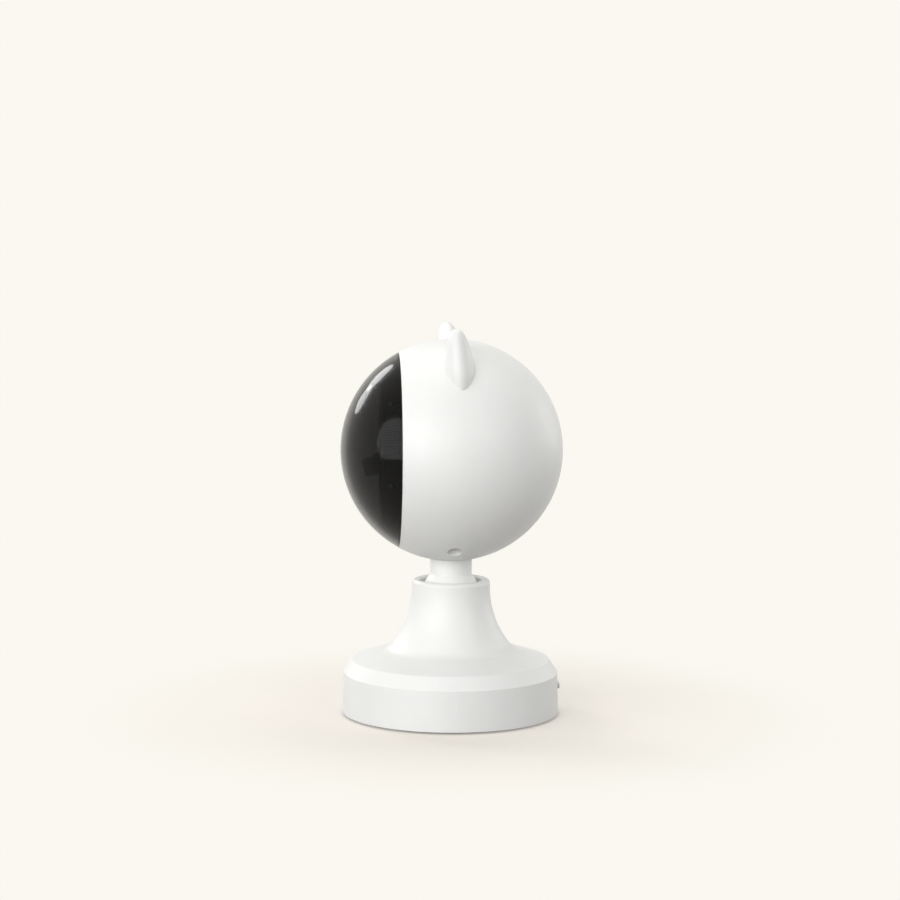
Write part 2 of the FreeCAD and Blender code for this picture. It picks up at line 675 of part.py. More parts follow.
def make_charging_board():
    sweep = s.board_ahead + s.board_behind
    start = 90 - s.board_ahead
    plate = sector("board_sector", board_outer, s.board_thick, sweep, start, (0, 0, board_under))
    hollow = cylinder("board_hollow", board_inner, s.board_thick, (0, 0, board_under))
    holes = [cylinder(f"board_hole_{n}", SMALL_SCREW + PILOT_SLACK, s.board_thick, spot)
             for n, spot in enumerate(around(board_screws, BOARD_SCREW_ANGLES, board_under))]
    keep(cut("charging_board", plate, [hollow] + holes))
    keep(group("charging_board_screws", [
        screw(f"charging_screw_{n}", SMALL_SCREW, s.board_thick + s.board_lift, SMALL_SCREW_HEAD,
              SMALL_HEAD_HIGH, spot, UPSIDE_DOWN)
        for n, spot in enumerate(around(board_screws, BOARD_SCREW_ANGLES, board_top))]))
    mouth = s.base_radius - s.port_sunk
    back = mouth - s.port_deep
    skin = s.port_skin * 2
    shell = padded("port_outside", "XZ", s.port_deep,
                   *rounded(s.port_wide, s.port_high, s.port_high / 2 - 0.01))
    hollow = padded("port_inside", "XZ", s.port_deep,
                    *rounded(s.port_wide - skin, s.port_high - skin, s.port_high / 2 - s.port_skin
                             - 0.01))
    turn = rear_turn(s.port_angle)
    spot = rear_point(back, s.port_angle, port_height)
    keep(place(cut("usb_shell", shell, [hollow]), spot, turn))
    tongue = padded("port_tongue", "XZ", s.port_deep - 1, *rounded(
        s.port_wide - skin * 4, s.tongue_thick, s.tongue_thick / 4))
    block = padded("port_block", "XZ", 1.2, *rounded(
        s.port_wide - skin, s.port_high - skin, s.port_high / 2 - s.port_skin - 0.01))
    keep(place(fuse("usb_tongue", [tongue, block]), spot, turn))


def make_power_button():
    outside = s.base_radius - (s.base_radius - wall_top_radius) * 0.6
    inside = outside - s.base_wall
    flange_front = inside - s.key_slack
    flange_back = flange_front - s.key_flange
    switch_front = flange_back - s.key_travel - 0.5
    face = outside + s.key_proud
    key = padded("key_face", "XZ", face - flange_front,
                 *rounded(s.key_wide, s.key_high, s.key_high / 2 - 0.01),
                 at=(0, flange_front, port_height), turn=rear_turn(0))
    flange = padded("key_flange", "XZ", s.key_flange,
                    *rounded(s.key_wide + 2, s.key_high + 1.2, 0.6),
                    at=(0, flange_back, port_height), turn=rear_turn(0))
    keep(fuse("power_button", [key, flange]))
    plunger_back = flange_back - s.plunger_long
    keep(cylinder("switch_plunger", s.plunger_radius, s.plunger_long,
                  (0, plunger_back, port_height), ALONG_Y))
    case = centred_box("switch_case", (s.switch_wide, s.switch_deep, s.switch_high),
                       (0, switch_front - s.switch_deep / 2, board_top))
    hole_back = plunger_back - s.key_travel - 0.3
    hole = cylinder("switch_hole", s.plunger_radius + s.pin_fit, switch_front - hole_back,
                    (0, hole_back, port_height), ALONG_Y)
    keep(cut("push_switch", case, [hole]))


def make_swivel():
    under = collar - s.retainer_thick
    plate = cylinder("retainer_plate", s.retainer_radius, s.retainer_thick, (0, 0, under))
    stop = cylinder("retainer_stop", s.stop_radius, s.stop_high + 1, (0, -s.stop_circle, collar - 1))
    holes = [cylinder("retainer_hole", s.retainer_hole, s.retainer_thick, (0, 0, under))]
    holes += [cylinder(f"retainer_screw_hole_{n}", SMALL_SCREW + PILOT_SLACK, s.retainer_thick, spot)
              for n, spot in enumerate(around(s.retainer_screws, RETAINER_ANGLES, under))]
    keep(cut("swivel_retainer", fuse("retainer_blank", [plate, stop]), holes))
    keep(group("retainer_screws", [
        screw(f"retainer_screw_{n}", SMALL_SCREW, RETAINER_SCREW_LONG, SMALL_SCREW_HEAD,
              SMALL_HEAD_HIGH, spot)
        for n, spot in enumerate(around(s.retainer_screws, RETAINER_ANGLES, under))]))
    keep(cut("friction_ring", cylinder("friction_outer", s.ring_outer, s.ring_thick, (0, 0, collar)),
             [cylinder("friction_inner", s.ring_inner, s.ring_thick, (0, 0, collar))]))
    cup_radius = s.bore_radius - s.swivel_fit
    floor = cup_under + s.cup_floor
    cup = turned("cup_blank", "XZ", (s.cup_hole, cup_under), [
        ((cup_radius, cup_under),),
        ((cup_radius, cup_top),),
        ((s.cup_cavity, cup_top),),
        ((s.cup_cavity, floor),),
        ((s.cup_hole, floor),),
    ])
    free = s.pan_angle + arc_sine(s.stop_radius / s.stop_circle) + 1
    reach = s.stop_radius + s.swivel_gap
    slot = sector("stop_sector", s.stop_circle + reach, s.stop_groove, free * 2, 270 - free,
                  (0, 0, cup_under))
    slot_core = cylinder("stop_core", s.stop_circle - reach, s.stop_groove, (0, 0, cup_under))
    pin_hole = cylinder("cup_pin_hole", s.pin_radius, cup_radius * 2, (-cup_radius, 0, ball_height),
                        ALONG_X)
    keep(cut("swivel_cup", cup, [cut("stop_slot", slot, [slot_core]), pin_hole]))
    seat_radius = s.ball_radius + s.seat_gap
    seat_top = ball_height - s.seat_below
    keep(turned("ball_seat", "XZ", (s.cup_hole, floor), [
        ((s.cup_cavity, floor),),
        ((s.cup_cavity, seat_top),),
        ((other_side(seat_radius, s.seat_below), seat_top),),
        ((s.cup_hole, ball_height - other_side(seat_radius, s.cup_hole)), BALL_MIDDLE, seat_radius,
         False),
    ]))
    pin_long = cup_radius - s.pin_reach
    keep(group("pivot_pins", [
        cylinder("pivot_pin_left", s.pin_radius, pin_long, (s.pin_reach, 0, ball_height), ALONG_X),
        cylinder("pivot_pin_right", s.pin_radius, pin_long, (-s.pin_reach, 0, ball_height),
                 ALONG_MINUS_X),
    ]))


BALL_MIDDLE = (0, ball_height)
pad_top = s.head_wall + s.pad_rise - s.head_radius


def head_surface(radius, side):
    """Height of the head's sphere below its centre, at a distance from the axis."""
    return -other_side(radius, side)


def make_neck():
    centre = head_height - ball_height
    shoulder = centre + head_surface(s.head_radius, s.neck_radius)
    spigot_foot = centre + head_surface(s.head_radius, s.spigot_radius)
    spigot_top = centre + pad_top - 0.1
    flare_height = -other_side(s.ball_radius, s.flare_radius)
    neck = turned("neck_blank", "XZ", (s.cable_radius, -s.cable_radius), [
        ((s.flare_radius, flare_height),),
        ((s.neck_radius, other_side(s.ball_radius, s.neck_radius)), (0, 0), s.ball_radius, True),
        ((s.neck_radius, shoulder),),
        ((s.spigot_radius, spigot_foot), (0, centre), s.head_radius, False),
        ((s.spigot_radius, spigot_top),),
        ((s.cable_radius, spigot_top),),
    ])
    hole = s.pin_radius + s.pin_fit
    reach = s.pin_reach - 0.3
    holes = [
        cylinder("neck_pin_hole_left", hole, s.ball_radius, (reach, 0, 0), ALONG_X),
        cylinder("neck_pin_hole_right", hole, s.ball_radius, (-reach, 0, 0), ALONG_MINUS_X),
    ]
    holes += [cylinder(f"neck_pilot_{n}", FINE_SCREW, NECK_SCREW_LONG, spot)
              for n, spot in enumerate(around(s.neck_screw_circle, RETAINER_ANGLES,
                                              spigot_top - NECK_SCREW_LONG + s.flange_thick))]
    keep(place(cut("neck_ball", neck, holes), BALL))
    flange = cylinder("flange_blank", s.flange_radius, s.flange_thick, (0, 0, pad_top))
    holes = [cylinder("flange_bore", s.cable_radius, s.flange_thick, (0, 0, pad_top))]
    holes += [cylinder(f"flange_hole_{n}", FINE_SCREW + PILOT_SLACK / 2, s.flange_thick, spot)
              for n, spot in enumerate(around(s.neck_screw_circle, RETAINER_ANGLES, pad_top))]
    keep(place(cut("neck_flange", flange, holes), HEAD))
    keep(place(group("neck_screws", [
        screw(f"neck_screw_{n}", FINE_SCREW, NECK_SCREW_LONG, 1.35, FINE_HEAD_HIGH, spot,
              UPSIDE_DOWN)
        for n, spot in enumerate(around(s.neck_screw_circle, RETAINER_ANGLES,
                                        pad_top + s.flange_thick))]), HEAD))


NECK_SCREW_LONG = 7
HEAD_SCREW_LONG = 9
inner_radius = s.head_radius - s.head_wall
well_top = head_surface(s.head_radius, s.well_offset) + s.well_depth
boss_top = head_surface(inner_radius, s.well_offset) + s.boss_high
shelf_under = s.head_wall + s.shelf_rise - s.shelf_thick - s.head_radius
shelf_top = shelf_under + s.shelf_thick
shelf_radius = other_side(inner_radius, shelf_under) - s.shelf_gap


def both_sides(offset, up):
    return [(side * offset, 0, up) for side in (-1, 1)]


def make_head_shell():
    outside = sphere("shell_outside", s.head_radius)
    inside = sphere("shell_inside", inner_radius)
    size = s.head_radius * 2 + 2
    front = box("shell_front", (size, s.head_radius, size),
                (-size / 2, -dome_offset - s.head_radius, -size / 2))
    walls = cut("shell_walls", outside, [inside, front])
    pad = cylinder("shell_pad", s.pad_radius, s.head_wall + s.pad_rise, (0, 0, -s.head_radius))
    bosses = [cylinder(f"shell_boss_{n}", s.boss_radius, s.head_radius + boss_top, spot)
              for n, spot in enumerate(both_sides(s.well_offset, -s.head_radius))]
    solid = sphere("shell_solid", s.head_radius)
    fitted = common("shell_fittings", [fuse("shell_fitting_blanks", [pad] + bosses), solid])
    holes = [cylinder("shell_neck_hole", s.spigot_radius + 0.1, s.head_radius,
                      (0, 0, -s.head_radius * 1.2))]
    for n, (x, y, _) in enumerate(both_sides(s.well_offset, 0)):
        holes.append(cylinder(f"shell_well_{n}", s.well_radius, s.head_radius + well_top,
                              (x, y, -s.head_radius)))
        holes.append(cylinder(f"shell_screw_hole_{n}", SMALL_SCREW + PILOT_SLACK, s.boss_high,
                              (x, y, boss_top - s.boss_high)))
    holes += [place(cylinder(f"shell_peg_hole_{n}", s.peg_radius + 0.1, s.head_radius), (0, 0, 0),
                    ((0, 1, 0), side * peg_angle)) for n, side in enumerate((-1, 1))]
    blank = fuse("shell_blank", [walls, fitted])
    keep(place(cut("head_shell", blank, holes), HEAD))
    keep(place(group("head_screws", [
        screw(f"head_screw_{n}", SMALL_SCREW, HEAD_SCREW_LONG, SMALL_SCREW_HEAD, SMALL_HEAD_HIGH,
              spot) for n, spot in enumerate(both_sides(s.well_offset, well_top))]), HEAD))


peg_angle = s.ear_angle
EAR_SECTIONS = ((-0.62, 1.12, 0.72), (-0.3, 1.07, 0.93), (0, 1, 1), (0.26, 0.84, 0.885), (0.5, 0.66, 0.755),
                (0.72, 0.475, 0.61), (0.87, 0.33, 0.46), (0.95, 0.22, 0.31), (0.985, 0.12, 0.17))


def make_ears():
    rings = []
    for n, (share, wide, deep) in enumerate(EAR_SECTIONS):
        ring = doc.addObject("Part::Ellipse", f"ear_section_{n}")
        bind(ring, MajorRadius=s.ear_wide * wide, MinorRadius=s.ear_deep * deep)
        rings.append(place(ring, (0, s.ear_back * (1 - 1.3 * share), s.ear_length * share)))
    loft = doc.addObject("Part::Loft", "ear_loft")
    loft.Sections = rings
    loft.Solid = True
    dish = doc.addObject("Part::Ellipsoid", "ear_dish")
    bind(dish, Radius1=s.ear_length * 0.37, Radius2=s.ear_wide * 0.32, Radius3=s.ear_deep * 0.42)
    place(dish, (0, -s.ear_deep, s.ear_length * 0.45))
    hollowed = place(cut("ear_hollowed", loft, [dish]), (ear_foot_side, 0, ear_foot_up),
                     ((0, 1, 0), s.ear_lean))
    above = cut("ear_above", hollowed, [sphere("ear_head", s.head_radius)])
    lean = ((0, 1, 0), peg_angle)
    peg_foot = inner_radius + 0.1
    peg = cylinder("ear_peg", s.peg_radius, s.head_radius - peg_foot + 2,
                   (peg_foot * sine(peg_angle), 0, peg_foot * cosine(peg_angle)), lean)
    screw_foot = inner_radius - 0.15
    screw_at = (screw_foot * sine(peg_angle), 0, screw_foot * cosine(peg_angle))
    hole = cylinder("ear_pilot", SMALL_SCREW, EAR_SCREW_LONG, screw_at, lean)
    left = keep(place(cut("left_ear", fuse("ear_blank", [above, peg]), [hole]), HEAD))
    right = doc.addObject("Part::Mirroring", "right_ear")
    right.Source = left
    right.Normal = (1, 0, 0)
    keep(right)
    screws = [screw("ear_screw_left", SMALL_SCREW, EAR_SCREW_LONG, 2.6, SMALL_HEAD_HIGH,
                    screw_at, lean),
              screw("ear_screw_right", SMALL_SCREW, EAR_SCREW_LONG, 2.6, SMALL_HEAD_HIGH,
                    (-screw_at[0], 0, screw_at[2]), ((0, 1, 0), -peg_angle))]
    keep(place(group("ear_screws", screws), HEAD))


EAR_SCREW_LONG = 7
ORIGIN = (0, 0)


def make_dome():
    inside = s.head_radius - s.dome_wall
    keep(place(turned("dome", "XY", (0, -s.head_radius), [
        ((other_side(s.head_radius, dome_offset), -dome_offset), ORIGIN, s.head_radius, True),
        ((other_side(inside, dome_offset), -dome_offset),),
        ((0, -inside), ORIGIN, inside, False),
    ]), HEAD))
    outer = inside - s.ring_gap
    inner = outer - s.ring_wall
    ring_screw_offset = mask_offset - s.ring_screw_back
    skirt = other_side(outer, dome_offset) - s.mask_fit
    skirt_end = s.ring_skirt - dome_offset
    start = (other_side(inner, mask_offset), -mask_offset)
    band = turned("ring_band", "XY", start, [
        ((other_side(outer, mask_offset), -mask_offset),),
        ((other_side(outer, dome_offset), -dome_offset), ORIGIN, outer, True),
        ((skirt, -dome_offset),),
        ((skirt, skirt_end),),
        ((skirt - s.ring_wall, skirt_end),),
        ((other_side(inner, dome_offset), -dome_offset),),
        (start, ORIGIN, inner, False),
    ])
    mask_inner = mask_outer - s.mask_thick
    mask_back = mask_offset - s.mask_thick
    band_back = mask_offset - s.mask_band
    mask = turned("mask_blank", "XY", (0, -mask_offset), [
        ((other_side(mask_outer, mask_offset), -mask_offset),),
        ((other_side(mask_outer, band_back), -band_back), ORIGIN, mask_outer, True),
        ((other_side(mask_inner, band_back), -band_back),),
        ((other_side(mask_inner, mask_back), -mask_back), ORIGIN, mask_inner, False),
        ((0, -mask_back),),
    ])
    screws, ring_holes, mask_holes = [], [], []
    tip = mask_inner + 0.1
    for n, angle in enumerate(RING_SCREW_ANGLES):
        drop = arc_sine(ring_screw_offset / outer)
        side, up = cosine(drop) * sine(angle), cosine(drop) * cosine(angle)
        direction = (side, -ring_screw_offset / outer, up)
        turn = radial_turn([value(part) for part in direction])
        for name, radius, first, last, holes in (
                ("ring", TINY_SCREW + 0.1, inner - 1, outer + 1, ring_holes),
                ("ring_sink", TINY_SCREW_HEAD + 0.1, outer - 0.6, outer + 1, ring_holes),
                ("mask", TINY_SCREW, mask_inner - 1, mask_outer + 1, mask_holes)):
            at = tuple(part * first for part in direction)
            holes.append(cylinder(f"{name}_hole_{n}", radius, last - first, at, turn))
        shank = cylinder(f"ring_screw_shank_{n}", TINY_SCREW, outer - 0.6 - tip,
                         tuple(part * tip for part in direction), turn)
        head = cylinder(f"ring_screw_head_{n}", TINY_SCREW_HEAD, 0.5,
                        tuple(part * (outer - 0.6) for part in direction), turn)
        screws.append(fuse(f"ring_screw_{n}", [shank, head]))
    keep(place(cut("ribbed_ring", band, ring_holes), HEAD))
    window = padded("mask_window", "XZ", s.mask_thick * 3,
                    *rounded(window_half * 2, window_high, 3.0, (0, window_middle)),
                    at=(0, -mask_offset + s.mask_thick * 2, 0))
    mask_holes.append(window)
    mask_holes += [cylinder(f"mask_screw_hole_{n}", FINE_SCREW + PILOT_SLACK, s.mask_thick * 3,
                            (x, -mask_offset - s.mask_thick, 0), ALONG_Y)
                   for n, (x, _, _) in enumerate(both_sides(rail_offset, 0))]
    keep(place(cut("mask", mask, mask_holes), HEAD))
    keep(place(group("ring_screws", screws), HEAD))
    keep(place(group("mask_screws", [
        screw(f"mask_screw_{n}", FINE_SCREW, MASK_SCREW_LONG, FINE_SCREW_HEAD, 0.8,
              (x, -mask_offset, 0), ALONG_Y)
        for n, (x, _, _) in enumerate(both_sides(rail_offset, 0))]), HEAD))


def radial_turn(direction):
    """The turn that points a thing made along Z in a direction."""
    turn = FreeCAD.Rotation(FreeCAD.Vector(0, 0, 1), FreeCAD.Vector(*direction))
    return tuple(turn.Axis), math.degrees(turn.Angle)


RING_SCREW_ANGLES = (52, 108.5, -52, -108.5)
TINY_SCREW = 0.45
TINY_SCREW_HEAD = 0.8
MASK_SCREW_LONG = 7
window_reach = mask_offset - s.gimbal_offset
window_half = (window_reach * tangent(s.laser_turn) + s.laser_radius / cosine(s.laser_turn)
               + s.window_margin)
window_top = s.laser_radius + 0.9 + s.window_margin
window_bottom = -(window_reach * tangent(s.laser_lowest) + s.laser_radius / cosine(s.laser_lowest)
                  + s.window_margin)
window_high = window_top - window_bottom
window_middle = (window_top + window_bottom) / 2


def make_chassis():
    disc = cylinder("shelf_disc", shelf_radius, s.shelf_thick, (0, 0, shelf_under))
    trim = box("shelf_trim", (shelf_radius * 2, s.shelf_front + s.shelf_back, s.shelf_thick),
               (-shelf_radius, -s.shelf_front, shelf_under))
    solids = [common("shelf", [disc, trim])]
    holes = []
    boss_back = mask_offset - s.mask_thick
    for n, side in enumerate((-1, 1)):
        x = side * rail_offset
        solids.append(box(f"rail_{n}", (s.rail_thick, s.shelf_front + s.shelf_back,
                                        s.rail_top - shelf_under),
                          (x - s.rail_thick / 2, -s.shelf_front, shelf_under)))
        solids.append(cylinder(f"mask_boss_{n}", s.rail_boss, boss_back - s.shelf_front
                               + s.mask_boss_overlap,
                               (x, -boss_back, 0), ALONG_Y))
        holes.append(cylinder(f"mask_pilot_{n}", FINE_SCREW, MASK_SCREW_LONG,
                              (x, -boss_back, 0), ALONG_Y))
        for m, up in enumerate(board_screw_heights):
            solids.append(cylinder(f"board_boss_{n}{m}", s.rail_boss, s.rail_boss_long,
                                   (x, s.shelf_back - s.rail_boss_long, up), ALONG_Y))
            holes.append(cylinder(f"head_board_pilot_{n}{m}", SMALL_SCREW, 6,
                                  (x, s.shelf_back - 6, up), ALONG_Y))
    for n, spot in enumerate(both_sides(s.well_offset, boss_top)):
        solids.append(cylinder(f"chassis_foot_{n}", s.foot_radius, shelf_under - boss_top, spot))
        holes.append(cylinder(f"chassis_pilot_{n}", SMALL_SCREW,
                              well_top + HEAD_SCREW_LONG - boss_top, spot))
    solids.append(cylinder("bearing_boss", s.bearing_radius, s.bearing_long,
                           (0, -s.gimbal_offset, shelf_under - s.bearing_long)))
    holes.append(cylinder("bearing_bore", s.shaft_radius + s.pin_fit,
                          s.bearing_long + s.shelf_thick,
                          (0, -s.gimbal_offset, shelf_under - s.bearing_long)))
    holes.append(cylinder("pan_motor_hole", s.motor_shaft + 0.5, s.shelf_thick,
                          (0, pan_motor_y, shelf_under)))
    for n, side in enumerate((-1, 1)):
        holes.append(cylinder(f"pan_motor_pilot_{n}", FINE_SCREW, s.shelf_thick,
                              (side * pan_motor_ear, pan_motor_y, shelf_under)))
        holes.append(cylinder(f"cable_slot_{n}", 2.0, s.shelf_thick,
                              (side * 13, s.shelf_back / 2, shelf_under)))
    keep(place(cut("chassis", fuse("chassis_blank", solids), holes), HEAD))


gear_foot = shelf_top + s.gear_lift
board_screw_heights = (shelf_top + s.rail_boss + 1, s.rail_top - s.rail_boss - 1)
pan_radius = s.gear_module * s.pan_teeth / 2
tilt_radius = s.gear_module * s.tilt_teeth / 2
pinion_radius = s.gear_module * s.pinion_teeth / 2
pan_motor_y = pan_radius + pinion_radius - s.gimbal_offset
pan_motor_ear = s.pan_motor_radius + 1.6
tilt_motor_z = tilt_radius + pinion_radius
tilt_motor_ear = s.tilt_motor_radius + 1.5


def gear_outline(teeth, reach):
    """Corners of a gear's outline about the origin, with its first tooth at the angle 0."""
    module, play = value(s.gear_module), value(s.backlash)
    pitch = module * teeth / 2
    pressure = math.radians(20)
    base, tip, foot = pitch * math.cos(pressure), pitch + 0.8 * module, pitch - 1.15 * module
    pitch_half = math.pi / teeth / 2 - play / (4 * pitch)

    def half_angle(radius):
        lean = math.acos(min(1, base / radius))
        unrolled = math.tan(lean) - lean
        return pitch_half + math.tan(pressure) - pressure - unrolled

    corners = []
    for tooth in range(teeth):
        if reach is not None and tooth == reach + 1:
            corners.append((0, 0))
        if reach is not None and reach < tooth < teeth - reach:
            continue
        middle = 2 * math.pi * tooth / teeth
        for radius, turn in ((foot, -half_angle(foot)), (tip, -half_angle(tip)),
                             (tip, half_angle(tip)), (foot, half_angle(foot))):
            corners.append((radius * math.cos(middle + turn), radius * math.sin(middle + turn)))
    return corners


def toothed(name, teeth, thick, bore, phase, reach=None):
    """A spur gear along Z; reach keeps only that many teeth each side of the first one."""
    corners = gear_outline(teeth, reach)
    points = [FreeCAD.Vector(x, y, 0) for x, y in corners]
    points.append(points[0])
    solid = Part.Face(Part.makePolygon(points)).extrude(FreeCAD.Vector(0, 0, value(thick)))
    if reach is not None:
        hub = Part.makeCylinder(value(s.trunnion_radius) + 1.8, value(thick))
        solid = solid.fuse(hub).removeSplitter()
    solid = solid.cut(Part.makeCylinder(value(bore), value(thick)))
    thing = doc.addObject("Part::Feature", name)
    solid.rotate(FreeCAD.Vector(0, 0, 0), FreeCAD.Vector(0, 0, 1), phase)
    thing.Shape = solid
    return thing


def make_pan_drive():
    pan_teeth, pinion_teeth = round(value(s.pan_teeth)), round(value(s.pinion_teeth))
    axis = (0, -s.gimbal_offset)
    gear = toothed("pan_gear", pan_teeth, s.gear_thick, s.shaft_radius, 90)
    keep(place(gear, (axis[0], axis[1], head_height + gear_foot)))
    pinion = toothed("pan_pinion", pinion_teeth, s.gear_thick, s.motor_shaft,
                     270 + 180 / pinion_teeth)
    keep(place(pinion, (0, pan_motor_y, head_height + gear_foot)))
    body = cylinder("pan_motor_can", s.pan_motor_radius, s.pan_motor_long,
                    (0, pan_motor_y, shelf_under - s.pan_motor_long))
    plate = padded("pan_motor_plate", "XY", s.motor_plate,
                   *rounded((pan_motor_ear + 2) * 2, 4.4, 2.1),
                   at=(0, pan_motor_y, shelf_under - s.motor_plate))
    holes = [cylinder(f"pan_motor_plate_hole_{n}", FINE_SCREW + 0.1, s.motor_plate,
                      (side * pan_motor_ear, pan_motor_y, shelf_under - s.motor_plate))
             for n, side in enumerate((-1, 1))]
    keep(place(cut("pan_motor", fuse("pan_motor_blank", [body, plate]), holes), HEAD))
    keep(place(group("pan_motor_screws", [
        screw(f"pan_motor_screw_{n}", FINE_SCREW, s.motor_plate + s.shelf_thick, 1.4, 0.9,
              (side * pan_motor_ear, pan_motor_y, shelf_under - s.motor_plate))
        for n, side in enumerate((-1, 1))]), HEAD))
    keep(cylinder("pan_motor_shaft", s.motor_shaft, s.gear_lift + s.shelf_thick + s.gear_thick,
                  (0, pan_motor_y, head_height + shelf_under)))


def make_yoke():
    gimbal = (0, -s.gimbal_offset, 0)
    floor_under = gear_foot + s.gear_thick
    floor_top = floor_under + s.yoke_floor
    outer = s.arm_inner + s.arm_thick
    tall = tilt_motor_z + tilt_motor_ear + 2
    solids = [
        centred_box("yoke_floor", (outer * 2, s.arm_wide, s.yoke_floor), (0, 0, floor_under)),
        cylinder("yoke_round", s.arm_wide / 2 + 2, s.yoke_floor, (0, 0, floor_under)),
        cylinder("yoke_shaft", s.shaft_radius, s.bearing_long + s.shelf_thick + s.gear_lift
                 + s.gear_thick + s.slide_gap, (0, 0, shelf_under - s.bearing_long - s.slide_gap)),
        box("arm_short", (s.arm_thick, s.arm_wide, s.arm_above - floor_under),
            (-outer, -s.arm_wide / 2, floor_under)),
        box("arm_tall", (s.arm_thick, s.arm_wide, tall - floor_under),
            (s.arm_inner, -s.arm_wide / 2, floor_under)),
    ]
    holes = [
        cylinder("yoke_pivots", s.trunnion_radius + s.pin_fit, outer * 2, (-outer, 0, 0), ALONG_X),
        cylinder("yoke_motor_hole", s.motor_shaft + 0.5, s.arm_thick,
                 (s.arm_inner, 0, tilt_motor_z), ALONG_X),
        cylinder("yoke_pilot", FINE_SCREW, 6, (0, 0, shelf_under - s.bearing_long - 0.2)),
    ]
    holes += [cylinder(f"tilt_motor_pilot_{n}", 0.6, s.arm_thick,
                       (s.arm_inner, 0, tilt_motor_z + side * tilt_motor_ear), ALONG_X)
              for n, side in enumerate((-1, 1))]
    at = (0, gimbal[1], head_height)
    keep(place(cut("yoke", fuse("yoke_blank", solids), holes), at))
    under = shelf_under - s.bearing_long - s.slide_gap
    washer = cylinder("yoke_washer", s.bearing_radius - 1, 0.6, (0, 0, under - 0.6))
    bolt = screw("yoke_bolt", FINE_SCREW, 6, FINE_SCREW_HEAD, 0.8, (0, 0, under - 0.6))
    keep(place(fuse("yoke_retainer", [washer, bolt]), at))
    can = cylinder("tilt_motor_can", s.tilt_motor_radius, s.tilt_motor_long,
                   (outer, 0, tilt_motor_z), ALONG_X)
    plate = padded("tilt_motor_plate", "YZ", s.motor_plate,
                   *rounded(3.6, (tilt_motor_ear + 1.6) * 2, 1.7), at=(outer, 0, tilt_motor_z))
    plate_holes = [cylinder(f"tilt_motor_hole_{n}", 0.7, s.motor_plate,
                            (outer, 0, tilt_motor_z + side * tilt_motor_ear), ALONG_X)
                   for n, side in enumerate((-1, 1))]
    keep(place(cut("tilt_motor", fuse("tilt_motor_blank", [can, plate]), plate_holes), at))
    keep(place(group("tilt_motor_screws", [
        screw(f"tilt_motor_screw_{n}", 0.6, s.motor_plate + s.arm_thick, 1.1, 0.7,
              (outer + s.motor_plate, 0, tilt_motor_z + side * tilt_motor_ear), ALONG_MINUS_X)
        for n, side in enumerate((-1, 1))]), at))
    pinion_teeth = round(value(s.pinion_teeth))
    pinion = toothed("tilt_pinion", pinion_teeth, s.gear_thick, s.motor_shaft,
                     180 / pinion_teeth)
    gear_x = s.arm_inner - s.gear_thick - 0.4
    keep(place(pinion, (gear_x, gimbal[1], head_height + tilt_motor_z), ALONG_X))
    keep(cylinder("tilt_motor_shaft", s.motor_shaft, outer - gear_x,
                  (gear_x, gimbal[1], head_height + tilt_motor_z), ALONG_X))
    reach = math.ceil(value(s.tilt_teeth) * 0.11)
    sector_gear = toothed("tilt_gear", round(value(s.tilt_teeth)), s.gear_thick,
                          s.trunnion_radius, 180, reach)
    keep(place(sector_gear, (gear_x, gimbal[1], head_height), ALONG_X))
    return gear_x


def make_laser(gear_x):
    at = (0, -s.gimbal_offset, head_height)
    tilt = ((1, 0, 0), s.laser_down)
    length = s.sleeve_back + s.sleeve_front
    outer = s.arm_inner + s.arm_thick
    hub = s.trunnion_radius + 1.5
    solids = [
        cylinder("laser_sleeve", s.sleeve_radius, length, (0, s.sleeve_back, 0), ALONG_MINUS_Y),
        cylinder("laser_cross", hub, gear_x * 2, (-gear_x, 0, 0), ALONG_X),
        cylinder("laser_trunnions", s.trunnion_radius, outer * 2 - 0.4, (0.2 - outer, 0, 0), ALONG_X),
        box("laser_tongue", (2, s.tongue_reach, 0.9 + s.laser_radius / 2),
            (-1, -s.tongue_reach, s.laser_radius / 2)),
    ]
    bore = cylinder("sleeve_bore", s.laser_radius, s.laser_reach + s.sleeve_back,
                    (0, s.sleeve_back - 1.2, 0), ALONG_MINUS_Y)
    keep(place(cut("laser_carrier", fuse("sleeve_blank", solids), [bore]), at, tilt))
    front = -s.laser_reach
    body = turned("laser_module", "XY", (0, front + s.laser_long), [
        ((0, front + 2.2),),
        ((s.lens_radius, front + 2.2),),
        ((s.lens_radius + 0.2, front),),
        ((s.laser_radius - 0.3, front),),
        ((s.laser_radius, front + 0.3),),
        ((s.laser_radius, front + s.laser_long),),
    ])
    keep(place(body, at, tilt))
    lens = turned("laser_lens", "XY", (0, front + 0.5), [
        ((0, front + 2.2),),
        ((s.lens_radius, front + 2.2),),
        ((s.lens_radius, front + 1.2),),
    ])
    keep(place(lens, at, tilt))


